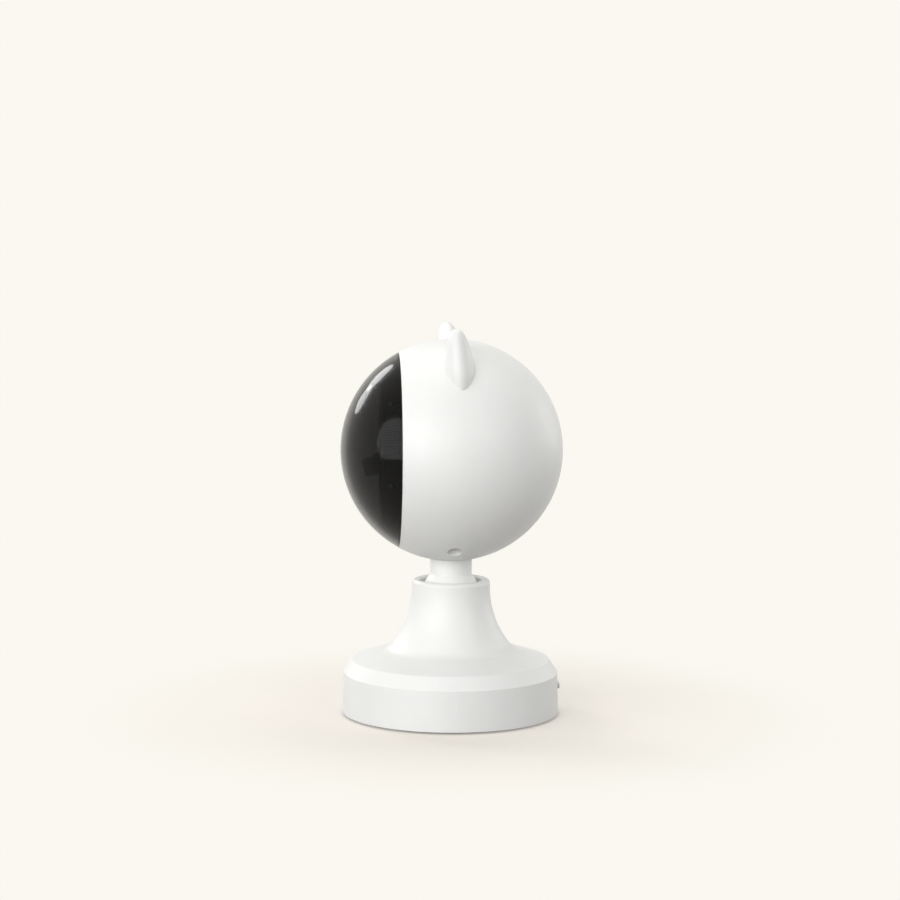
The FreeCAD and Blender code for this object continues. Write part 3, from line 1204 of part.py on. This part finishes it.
def make_head_board():
    middle_up = (shelf_top + s.rail_top) / 2
    back = s.shelf_back
    plate = padded("head_board_plate", "XZ", s.board_thick,
                   *rounded((rail_offset + s.head_board_side) * 2,
                            s.rail_top - shelf_top - s.head_board_gap * 2, 2, (0, middle_up)),
                   at=(0, back + s.board_thick, 0))
    spots = [(side * rail_offset, up) for side in (-1, 1) for up in board_screw_heights]
    holes = [cylinder(f"head_board_hole_{n}", SMALL_SCREW + PILOT_SLACK, s.board_thick,
                      (x, back, up), ALONG_Y) for n, (x, up) in enumerate(spots)]
    keep(place(cut("head_board", plate, holes), HEAD))
    keep(place(group("head_board_screws", [
        screw(f"head_board_screw_{n}", SMALL_SCREW, s.board_thick + 5, SMALL_SCREW_HEAD,
              SMALL_HEAD_HIGH, (x, back + s.board_thick, up), ALONG_MINUS_Y)
        for n, (x, up) in enumerate(spots)]), HEAD))
    chips = [box(f"chip_{n}", size, (x - size[0] / 2, back + s.board_thick, middle_up + up))
             for n, (size, x, up) in enumerate((((7, 1.2, 7), 0, -3), ((4, 1.0, 5), 10, -4),
                                                ((6, 4.0, 4), -11, -7), ((3, 2.0, 3), -10, 4)))]
    keep(place(group("head_board_chips", chips), HEAD))


def check_and_write():
    doc.recompute()
    faults = [thing.Label for thing in doc.Objects
              if {"Invalid", "Error"} & set(thing.State)]
    for part in parts:
        if part.Shape.isNull() or not part.Shape.isValid():
            faults.append(part.Label + " has no valid shape")
    if faults:
        raise RuntimeError("these did not build: " + ", ".join(faults))
    os.makedirs("parts", exist_ok=True)
    for part in parts:
        part.Shape.exportStep(os.path.join("parts", part.Label + ".step"))
        print(f"{part.Label}: {len(part.Shape.Solids)} solids, {part.Shape.Volume:.1f} mm3")


make_base_shell()
make_base_plate()
make_battery()
make_charging_board()
make_power_button()
make_swivel()
make_neck()
make_head_shell()
make_ears()
make_dome()
make_chassis()
make_pan_drive()
make_laser(make_yoke())
make_head_board()
check_and_write()
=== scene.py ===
import math

import bmesh
import bpy
from mathutils import Matrix, Vector


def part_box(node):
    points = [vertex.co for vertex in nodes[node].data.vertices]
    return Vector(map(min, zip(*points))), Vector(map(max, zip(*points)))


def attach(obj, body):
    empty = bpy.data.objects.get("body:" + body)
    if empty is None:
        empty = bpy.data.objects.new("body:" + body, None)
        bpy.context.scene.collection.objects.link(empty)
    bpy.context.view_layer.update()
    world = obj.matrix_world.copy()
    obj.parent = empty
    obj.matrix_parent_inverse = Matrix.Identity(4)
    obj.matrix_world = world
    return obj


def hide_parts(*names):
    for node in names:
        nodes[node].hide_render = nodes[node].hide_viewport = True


# Dresses the cat laser toy: finishes for every solid, fine ribs on the ring inside the dome,
# a pale floor, soft lamps and the camera. Lengths are in metres unless a name ends in _mm.

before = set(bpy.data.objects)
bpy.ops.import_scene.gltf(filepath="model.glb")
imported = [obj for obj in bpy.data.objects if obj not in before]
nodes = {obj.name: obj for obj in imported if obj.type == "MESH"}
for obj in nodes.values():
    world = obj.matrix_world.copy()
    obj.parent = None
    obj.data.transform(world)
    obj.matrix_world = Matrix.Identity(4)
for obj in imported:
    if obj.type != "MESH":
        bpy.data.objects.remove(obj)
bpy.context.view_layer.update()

MM = 0.001


def srgb(*channels):
    """A colour written in 0-255 steps, as the linear values that shaders take."""
    linear = []
    for channel in channels:
        share = channel / 255
        linear.append(share / 12.92 if share <= 0.04045 else ((share + 0.055) / 1.055) ** 2.4)
    return (*linear, 1.0)


def shaded(colour, factor):
    return (*(channel * factor for channel in colour[:3]), 1.0)


class Finish:
    """A material and short ways to add nodes to it."""

    def __init__(self, name):
        self.material = bpy.data.materials.new(name)
        self.material.use_nodes = True
        self.tree = self.material.node_tree
        self.shader = self.tree.nodes["Principled BSDF"]
        self.output = self.tree.nodes["Material Output"]
        self.coordinates = self.add("ShaderNodeTexCoord").outputs["Object"]

    def add(self, kind, **settings):
        node = self.tree.nodes.new(kind)
        for name, setting in settings.items():
            setattr(node, name, setting)
        return node

    def link(self, source, target):
        self.tree.links.new(source, target)

    def set(self, **sockets):
        for name, setting in sockets.items():
            self.shader.inputs[name.replace("_", " ")].default_value = setting

    def noise(self, size_mm, detail=3.0, stretch=(1, 1, 1), roughness=0.5):
        """A noise whose blobs are about size_mm across."""
        mapping = self.add("ShaderNodeMapping")
        mapping.inputs["Scale"].default_value = tuple(s / (size_mm * MM) for s in stretch)
        self.link(self.coordinates, mapping.inputs["Vector"])
        noise = self.add("ShaderNodeTexNoise")
        noise.inputs["Scale"].default_value = 1.0
        noise.inputs["Detail"].default_value = detail
        noise.inputs["Roughness"].default_value = roughness
        self.link(mapping.outputs["Vector"], noise.inputs["Vector"])
        return noise.outputs["Fac"]

    def ramp(self, source, stops):
        """Turns a 0-1 value into a colour by the given (place, colour) stops."""
        ramp = self.add("ShaderNodeValToRGB")
        elements = ramp.color_ramp.elements
        while len(elements) < len(stops):
            elements.new(0.5)
        for element, (place, colour) in zip(elements, stops):
            element.position = place
            element.color = colour
        self.link(source, ramp.inputs["Fac"])
        return ramp.outputs["Color"]

    def spread(self, source, low, high):
        """Maps the middle of a 0-1 value to the range from low to high."""
        spread = self.add("ShaderNodeMapRange")
        spread.inputs["From Min"].default_value = 0.3
        spread.inputs["From Max"].default_value = 0.7
        spread.inputs["To Min"].default_value = low
        spread.inputs["To Max"].default_value = high
        self.link(source, spread.inputs["Value"])
        return spread.outputs["Result"]

    def mix(self, share, first, second):
        """Mixes two colours, either of which may be a socket, by a socket's share."""
        mix = self.add("ShaderNodeMix", data_type="RGBA")
        colours = [socket for socket in mix.inputs if socket.type == "RGBA"]
        for socket, value in zip(colours, (first, second)):
            if isinstance(value, bpy.types.NodeSocket):
                self.link(value, socket)
            else:
                socket.default_value = value
        self.link(share, mix.inputs[0])
        return next(socket for socket in mix.outputs if socket.type == "RGBA")

    def bump(self, height, depth_mm, strength=1.0, under=None):
        bump = self.add("ShaderNodeBump")
        bump.inputs["Strength"].default_value = strength
        bump.inputs["Distance"].default_value = depth_mm * MM
        self.link(height, bump.inputs["Height"])
        if under:
            self.link(under, bump.inputs["Normal"])
        return bump.outputs["Normal"]

    def use(self, **links):
        for name, source in links.items():
            self.link(source, self.shader.inputs[name.replace("_", " ")])


def moulded(name, colour, roughness, grain_mm=0.35, grain_depth_mm=0.006, tint=0.03):
    """Injection-moulded plastic: faint flow marks, uneven gloss and a fine surface grain."""
    finish = Finish(name)
    flow = finish.noise(14, 4, (1, 1, 0.4))
    speck = finish.noise(1.2, 2)
    body = finish.mix(finish.spread(flow, 0.0, 1.0), shaded(colour, 1 - tint), colour)
    body = finish.mix(finish.spread(speck, 0.0, 0.25), body, shaded(colour, 1 - tint * 1.5))
    gloss = finish.spread(finish.noise(5, 4), roughness * 0.88, roughness * 1.14)
    wave = finish.bump(finish.noise(9, 2), 0.02, 0.25)
    grain = finish.bump(finish.noise(grain_mm, 3), grain_depth_mm, 0.6, wave)
    finish.use(Base_Color=body, Roughness=gloss, Normal=grain)
    finish.set(IOR=1.5)
    return finish


def metal(name, colour, roughness, brush_mm=(0.2, 6), axis=2, stain=0.12):
    """Drawn or turned metal: brush lines along one axis, and a little tarnish."""
    finish = Finish(name)
    stretch = [1.0, 1.0, 1.0]
    stretch[axis] = brush_mm[0] / brush_mm[1]
    brush = finish.noise(brush_mm[0], 2, tuple(stretch))
    tarnish = finish.noise(3, 5)
    body = finish.mix(finish.spread(tarnish, 0.0, 1.0), shaded(colour, 1 - stain), colour)
    body = finish.mix(finish.spread(brush, 0.0, 0.4), body, shaded(colour, 0.8))
    gloss = finish.spread(brush, roughness * 0.75, roughness * 1.3)
    finish.use(Base_Color=body, Roughness=gloss, Normal=finish.bump(brush, 0.01, 0.5))
    finish.set(Metallic=1.0)
    return finish


def smoked_dome():
    """Clear smoked plastic, polished, that shines a little less than bare plastic would."""
    finish = Finish("smoked_dome")
    cloud = finish.noise(18, 3)
    tint = finish.mix(finish.spread(cloud, 0.0, 1.0), srgb(92, 92, 94), srgb(96, 96, 97))
    gloss = finish.spread(finish.noise(4, 4), 0.07, 0.09)
    finish.use(Base_Color=tint, Roughness=gloss,
               Normal=finish.bump(finish.noise(12, 2), 0.008, 0.2))
    finish.set(Transmission_Weight=1.0, IOR=1.22)
    return finish


TRACKS_PER_METRE = 260
PADS_PER_METRE = 420


def circuit_board():
    """Solder mask over faint copper tracks and a scatter of pads."""
    finish = Finish("board_mask")
    tracks = finish.add("ShaderNodeTexBrick")
    mapping = finish.add("ShaderNodeMapping")
    mapping.inputs["Scale"].default_value = (TRACKS_PER_METRE,) * 3
    finish.link(finish.coordinates, mapping.inputs["Vector"])
    finish.link(mapping.outputs["Vector"], tracks.inputs["Vector"])
    tracks.inputs["Scale"].default_value = 1.0
    tracks.inputs["Mortar Size"].default_value = 0.03
    tracks.inputs["Color1"].default_value = srgb(22, 78, 46)
    tracks.inputs["Color2"].default_value = srgb(26, 86, 50)
    tracks.inputs["Mortar"].default_value = srgb(44, 112, 66)
    pads = finish.add("ShaderNodeTexVoronoi")
    pad_place = finish.add("ShaderNodeMapping")
    pad_place.inputs["Scale"].default_value = (PADS_PER_METRE,) * 3
    finish.link(finish.coordinates, pad_place.inputs["Vector"])
    finish.link(pad_place.outputs["Vector"], pads.inputs["Vector"])
    pads.inputs["Scale"].default_value = 1.0
    dots = finish.ramp(pads.outputs["Distance"], [(0.0, (1, 1, 1, 1)), (0.14, (1, 1, 1, 1)),
                                                  (0.17, (0, 0, 0, 1)), (1.0, (0, 0, 0, 1))])
    colour = finish.mix(dots, tracks.outputs["Color"], srgb(186, 182, 170))
    finish.use(Base_Color=colour, Normal=finish.bump(tracks.outputs["Fac"], 0.03, 0.4))
    finish.set(Roughness=0.32, IOR=1.5)
    return finish


def cell_wrap():
    """Shrink wrap of the battery cell, with fine creases."""
    finish = Finish("cell_wrap")
    crease = finish.noise(6, 6, (0.4, 1.4, 1), 0.65)
    colour = finish.mix(finish.spread(crease, 0.0, 1.0), srgb(150, 162, 176), srgb(170, 180, 190))
    finish.use(Base_Color=colour, Roughness=finish.spread(finish.noise(3, 4), 0.25, 0.42),
               Normal=finish.bump(crease, 0.12, 0.5))
    finish.set(Metallic=0.35)
    return finish


def lens_glass():
    finish = Finish("lens_glass")
    coat = finish.mix(finish.spread(finish.noise(2, 2), 0.0, 1.0), srgb(206, 220, 236),
                      srgb(222, 214, 236))
    finish.use(Base_Color=coat, Roughness=finish.spread(finish.noise(1, 3), 0.0, 0.03))
    finish.set(Transmission_Weight=1.0, IOR=1.52)
    return finish


WHITE = srgb(240, 240, 238)
shell_white = moulded("shell_white", WHITE, 0.42)
ear_white = moulded("ear_white", srgb(238, 238, 236), 0.45, 0.3, 0.006)
plate_white = moulded("plate_white", srgb(226, 226, 223), 0.5, 0.25, 0.02)
ring_black = moulded("ring_black", srgb(44, 44, 46), 0.34, 0.3, 0.006)
mask_black = moulded("mask_black", srgb(16, 16, 17), 0.55, 0.25, 0.02)
frame_grey = moulded("frame_grey", srgb(60, 60, 63), 0.5, 0.3, 0.02)
swivel_white = moulded("swivel_white", srgb(226, 223, 213), 0.38, 0.4, 0.008)
gear_white = moulded("gear_white", srgb(232, 229, 217), 0.4, 0.3, 0.01)
friction_grey = moulded("friction_grey", srgb(92, 92, 95), 0.75, 0.3, 0.04)
foot_rubber = moulded("foot_rubber", srgb(46, 46, 48), 0.8, 0.3, 0.05, tint=0.12)
key_grey = moulded("key_grey", srgb(206, 206, 205), 0.4, 0.3, 0.015)
chip_black = moulded("chip_black", srgb(26, 26, 27), 0.55, 0.2, 0.03)
screw_zinc = metal("screw_zinc", srgb(196, 196, 192), 0.32, (0.12, 1.5))
pin_steel = metal("pin_steel", srgb(200, 200, 200), 0.22, (0.1, 4), 0)
ballast_steel = metal("ballast_steel", srgb(96, 97, 100), 0.42, (0.3, 8), 0, 0.25)
strap_steel = metal("strap_steel", srgb(204, 204, 204), 0.26, (0.15, 10), 1)
port_nickel = metal("port_nickel", srgb(208, 206, 200), 0.24, (0.12, 4), 1)
motor_steel = metal("motor_steel", srgb(186, 186, 186), 0.3, (0.15, 6), 2)
laser_black = metal("laser_black", srgb(44, 44, 47), 0.36, (0.15, 1.2), 1)

FINISHES = {
    shell_white: ("base_shell", "neck_bell", "head_shell", "neck_ball"),
    ear_white: ("left_ear", "right_ear"),
    plate_white: ("bottom_plate",),
    mask_black: ("mask",),
    ring_black: ("ribbed_ring",),
    frame_grey: ("chassis", "yoke", "laser_carrier"),
    swivel_white: ("swivel_cup", "swivel_retainer", "neck_flange"),
    gear_white: ("pan_gear", "pan_pinion", "tilt_gear", "tilt_pinion"),
    friction_grey: ("friction_ring", "ball_seat"),
    foot_rubber: ("foot_ring",),
    key_grey: ("power_button",),
    chip_black: ("usb_tongue", "push_switch", "switch_plunger", "head_board_chips"),
    screw_zinc: ("base_screws", "strap_screws", "charging_board_screws", "retainer_screws",
                 "neck_screws", "head_screws", "ear_screws", "ring_screws", "mask_screws",
                 "pan_motor_screws", "head_board_screws", "tilt_motor_screws", "yoke_retainer"),
    pin_steel: ("pivot_pins", "pan_motor_shaft", "tilt_motor_shaft"),
    ballast_steel: ("ballast_disc",),
    strap_steel: ("battery_strap",),
    port_nickel: ("usb_shell",),
    motor_steel: ("pan_motor", "tilt_motor"),
    laser_black: ("laser_module",),
    smoked_dome(): ("dome",),
    circuit_board(): ("charging_board", "head_board"),
    cell_wrap(): ("battery",),
    lens_glass(): ("laser_lens",),
}
for finish, names in FINISHES.items():
    for name in names:
        slots = nodes[name].data.materials
        slots.clear()
        slots.append(finish.material)


RIBS = 190
STEPS_PER_RIB = 6
RING_WALL = 1.6 * MM
GROOVE = 0.34 * MM
SKIRT_INSET = 0.1 * MM
CURVE_STEPS = 12
FRONT_FADE = 0.5 * MM
BACK_FADE = 0.3 * MM
RING_SCREW_ANGLES = (52, 108.5, -52, -108.5)
RING_SCREW_Y = -23.1 * MM
SCREW_SEAT = 1.15 * MM
SEAT_DEPTH = 0.62 * MM


def ribbed_ring():
    """The ring inside the dome's edge, with fine ribs that run from front to back."""
    low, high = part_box("ribbed_ring")
    head = (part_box("head_shell")[0].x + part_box("head_shell")[1].x) / 2
    centre_z = (low.z + high.z) / 2
    front, back = low.y, high.y
    dome_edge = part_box("dome")[1].y
    outer = math.hypot(dome_edge, high.z - centre_z)
    outline = []
    for step in range(CURVE_STEPS + 1):
        y = front + (dome_edge - front) * step / CURVE_STEPS
        outline.append((y, math.sqrt(outer ** 2 - y ** 2), GROOVE))
    skirt = math.sqrt(outer ** 2 - dome_edge ** 2) - SKIRT_INSET
    outline += [(dome_edge, skirt, 0), (back, skirt, 0), (back, skirt - RING_WALL, 0)]
    inner = outer - RING_WALL
    for step in range(CURVE_STEPS, -1, -1):
        y = front + (dome_edge - front) * step / CURVE_STEPS
        outline.append((y, math.sqrt(inner ** 2 - y ** 2), 0))
    reach = math.sqrt(outer ** 2 - RING_SCREW_Y ** 2)
    screws = [Vector((reach * math.sin(math.radians(angle)), RING_SCREW_Y,
                      reach * math.cos(math.radians(angle)))) for angle in RING_SCREW_ANGLES]
    mesh = bpy.data.meshes.new("ribbed_ring_fine")
    work = bmesh.new()
    rings = []
    total = RIBS * STEPS_PER_RIB
    for index in range(total):
        turn = 2 * math.pi * index / total
        wave = 0.5 - 0.5 * math.cos(2 * math.pi * (index % STEPS_PER_RIB) / STEPS_PER_RIB)
        row = []
        for y, radius, depth in outline:
            fade = min(1, (y - front) / FRONT_FADE, (dome_edge - y) / BACK_FADE) if depth else 0
            reach = radius - depth * wave * max(0, fade)
            point = Vector((reach * math.sin(turn), y, reach * math.cos(turn)))
            if depth and min((point - spot).length for spot in screws) < SCREW_SEAT:
                point *= (outer - SEAT_DEPTH) / point.length
            row.append(work.verts.new(point + Vector((head, 0, centre_z))))
        rings.append(row)
    for index in range(total):
        here, there = rings[index], rings[(index + 1) % total]
        for place in range(len(outline)):
            after = (place + 1) % len(outline)
            work.faces.new((here[place], here[after], there[after], there[place]))
    bmesh.ops.recalc_face_normals(work, faces=work.faces)
    work.to_mesh(mesh)
    work.free()
    piece = bpy.data.objects.new("ribbed_ring_fine", mesh)
    bpy.context.scene.collection.objects.link(piece)
    mesh.materials.append(ring_black.material)
    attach(piece, "head")
    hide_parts("ribbed_ring")


ribbed_ring()


FLOOR_RADIUS = 12
FLOOR_EDGES = 96
SHADOW_FULL = 0.05
SHADOW_GONE = 0.16


def stage():
    """A pale floor that keeps the toy's soft shadow and meets a plain background."""
    bpy.ops.mesh.primitive_circle_add(vertices=FLOOR_EDGES, radius=FLOOR_RADIUS,
                                      fill_type="NGON")
    floor = bpy.context.object
    floor.name = "floor"
    finish = Finish("floor_paper")
    tree = finish.tree
    paper = finish.mix(finish.spread(finish.noise(40, 4), 0.0, 1.0), FLOOR, shaded(FLOOR, 0.985))
    diffuse = finish.add("ShaderNodeBsdfDiffuse")
    finish.link(paper, diffuse.inputs["Color"])
    bounce = finish.add("ShaderNodeBsdfDiffuse")
    bounce.inputs["Color"].default_value = FLOOR_BOUNCE
    lift = finish.add("ShaderNodeEmission")
    lift.inputs["Color"].default_value = FLOOR_LIFT
    near = finish.add("ShaderNodeAddShader")
    finish.link(diffuse.outputs[0], near.inputs[0])
    finish.link(lift.outputs[0], near.inputs[1])
    glow = finish.add("ShaderNodeEmission")
    glow.inputs["Color"].default_value = BACKGROUND
    path = finish.add("ShaderNodeLightPath")
    distance = finish.add("ShaderNodeVectorMath", operation="LENGTH")
    finish.link(finish.coordinates, distance.inputs[0])
    far = finish.add("ShaderNodeMapRange", interpolation_type="SMOOTHERSTEP")
    far.inputs["From Min"].default_value = SHADOW_FULL
    far.inputs["From Max"].default_value = SHADOW_GONE
    finish.link(distance.outputs["Value"], far.inputs["Value"])
    seen = finish.add("ShaderNodeMath", operation="ADD", use_clamp=True)
    finish.link(path.outputs["Is Camera Ray"], seen.inputs[0])
    either = finish.add("ShaderNodeMath", operation="ADD")
    finish.link(path.outputs["Is Transmission Ray"], either.inputs[0])
    finish.link(path.outputs["Is Glossy Ray"], either.inputs[1])
    finish.link(either.outputs[0], seen.inputs[1])
    pale = finish.add("ShaderNodeMixShader")
    finish.link(far.outputs["Result"], pale.inputs[0])
    finish.link(near.outputs[0], pale.inputs[1])
    finish.link(glow.outputs[0], pale.inputs[2])
    blend = finish.add("ShaderNodeMixShader")
    finish.link(seen.outputs[0], blend.inputs[0])
    finish.link(bounce.outputs[0], blend.inputs[1])
    finish.link(pale.outputs[0], blend.inputs[2])
    finish.link(blend.outputs[0], finish.output.inputs["Surface"])
    tree.nodes.remove(finish.shader)
    floor.data.materials.append(finish.material)

    world = bpy.data.worlds.new("studio")
    bpy.context.scene.world = world
    world.use_nodes = True
    tree = world.node_tree
    light = tree.nodes["Background"]
    light.inputs["Color"].default_value = (1.0, 1.0, 1.0, 1)
    light.inputs["Strength"].default_value = WORLD_LIGHT
    seen = tree.nodes.new("ShaderNodeBackground")
    seen.inputs["Color"].default_value = BACKGROUND
    path = tree.nodes.new("ShaderNodeLightPath")
    either = tree.nodes.new("ShaderNodeMath")
    either.operation = "ADD"
    either.use_clamp = True
    tree.links.new(path.outputs["Is Camera Ray"], either.inputs[0])
    mirrored = tree.nodes.new("ShaderNodeMath")
    mirrored.operation = "ADD"
    tree.links.new(path.outputs["Is Transmission Ray"], mirrored.inputs[0])
    tree.links.new(path.outputs["Is Glossy Ray"], mirrored.inputs[1])
    tree.links.new(mirrored.outputs[0], either.inputs[1])
    blend = tree.nodes.new("ShaderNodeMixShader")
    tree.links.new(either.outputs[0], blend.inputs[0])
    tree.links.new(light.outputs[0], blend.inputs[1])
    tree.links.new(seen.outputs[0], blend.inputs[2])
    tree.links.new(blend.outputs[0], tree.nodes["World Output"].inputs["Surface"])


FLOOR = (0.66, 0.625, 0.585, 1)
FLOOR_LIFT = (0.26, 0.25, 0.225, 1)
FLOOR_BOUNCE = (0.2, 0.198, 0.195, 1)
BACKGROUND = srgb(250, 248, 240)
WORLD_LIGHT = 0.46
FORWARD = Vector((-0.99259, 0.06730, -0.10113)).normalized()
RIGHT = FORWARD.cross(Vector((0, 0, 1))).normalized()
UP = RIGHT.cross(FORWARD)
HEAD = Vector((0, 0, 0.0958))
CAMERA_PLACE = (0.87841, -0.06015, 0.1852)
ROLL = 0.005
SENSOR_MM = 36
LENS_MM = 98.39


def lamp(name, rightwards, upwards, towards, size, power):
    """A soft lamp, so many metres right of, above and nearer than the head, aimed at it."""
    light = bpy.data.lights.new(name, "AREA")
    light.shape = "DISK"
    light.size = size
    light.energy = power
    thing = bpy.data.objects.new(name, light)
    bpy.context.scene.collection.objects.link(thing)
    thing.location = HEAD + RIGHT * rightwards + Vector((0, 0, upwards)) - FORWARD * towards
    aim = HEAD - thing.location
    thing.rotation_euler = aim.to_track_quat("-Z", "Y").to_euler()


stage()
lamp("left", -0.9, 0.15, 0.45, 0.7, 2.9)
lamp("key", -0.45, 0.15, 0.9, 0.7, 4.8)
lamp("fill", 0.6, 0.2, 0.8, 0.7, 1.9)
lamp("top", 0.0, 0.95, -0.4, 0.7, 2.7)
lamp("rim", 0.85, 0.15, -0.5, 0.7, 2.1)
lamp("streak", -0.53, 0.53, -0.7, 0.27, 1.2)
lamp("streak_low", -0.67, 0.38, -0.68, 0.25, 0.9)

camera_data = bpy.data.cameras.new("camera")
camera_data.sensor_width = SENSOR_MM
camera_data.lens = LENS_MM
camera = bpy.data.objects.new("camera", camera_data)
bpy.context.scene.collection.objects.link(camera)
across = RIGHT * math.cos(ROLL) + UP * math.sin(ROLL)
upright = UP * math.cos(ROLL) - RIGHT * math.sin(ROLL)
camera.matrix_world = Matrix.Translation(CAMERA_PLACE) @ Matrix(
    (across, upright, -FORWARD)).transposed().to_4x4()
bpy.context.scene.camera = camera
bpy.context.scene.view_settings.view_transform = "Standard"
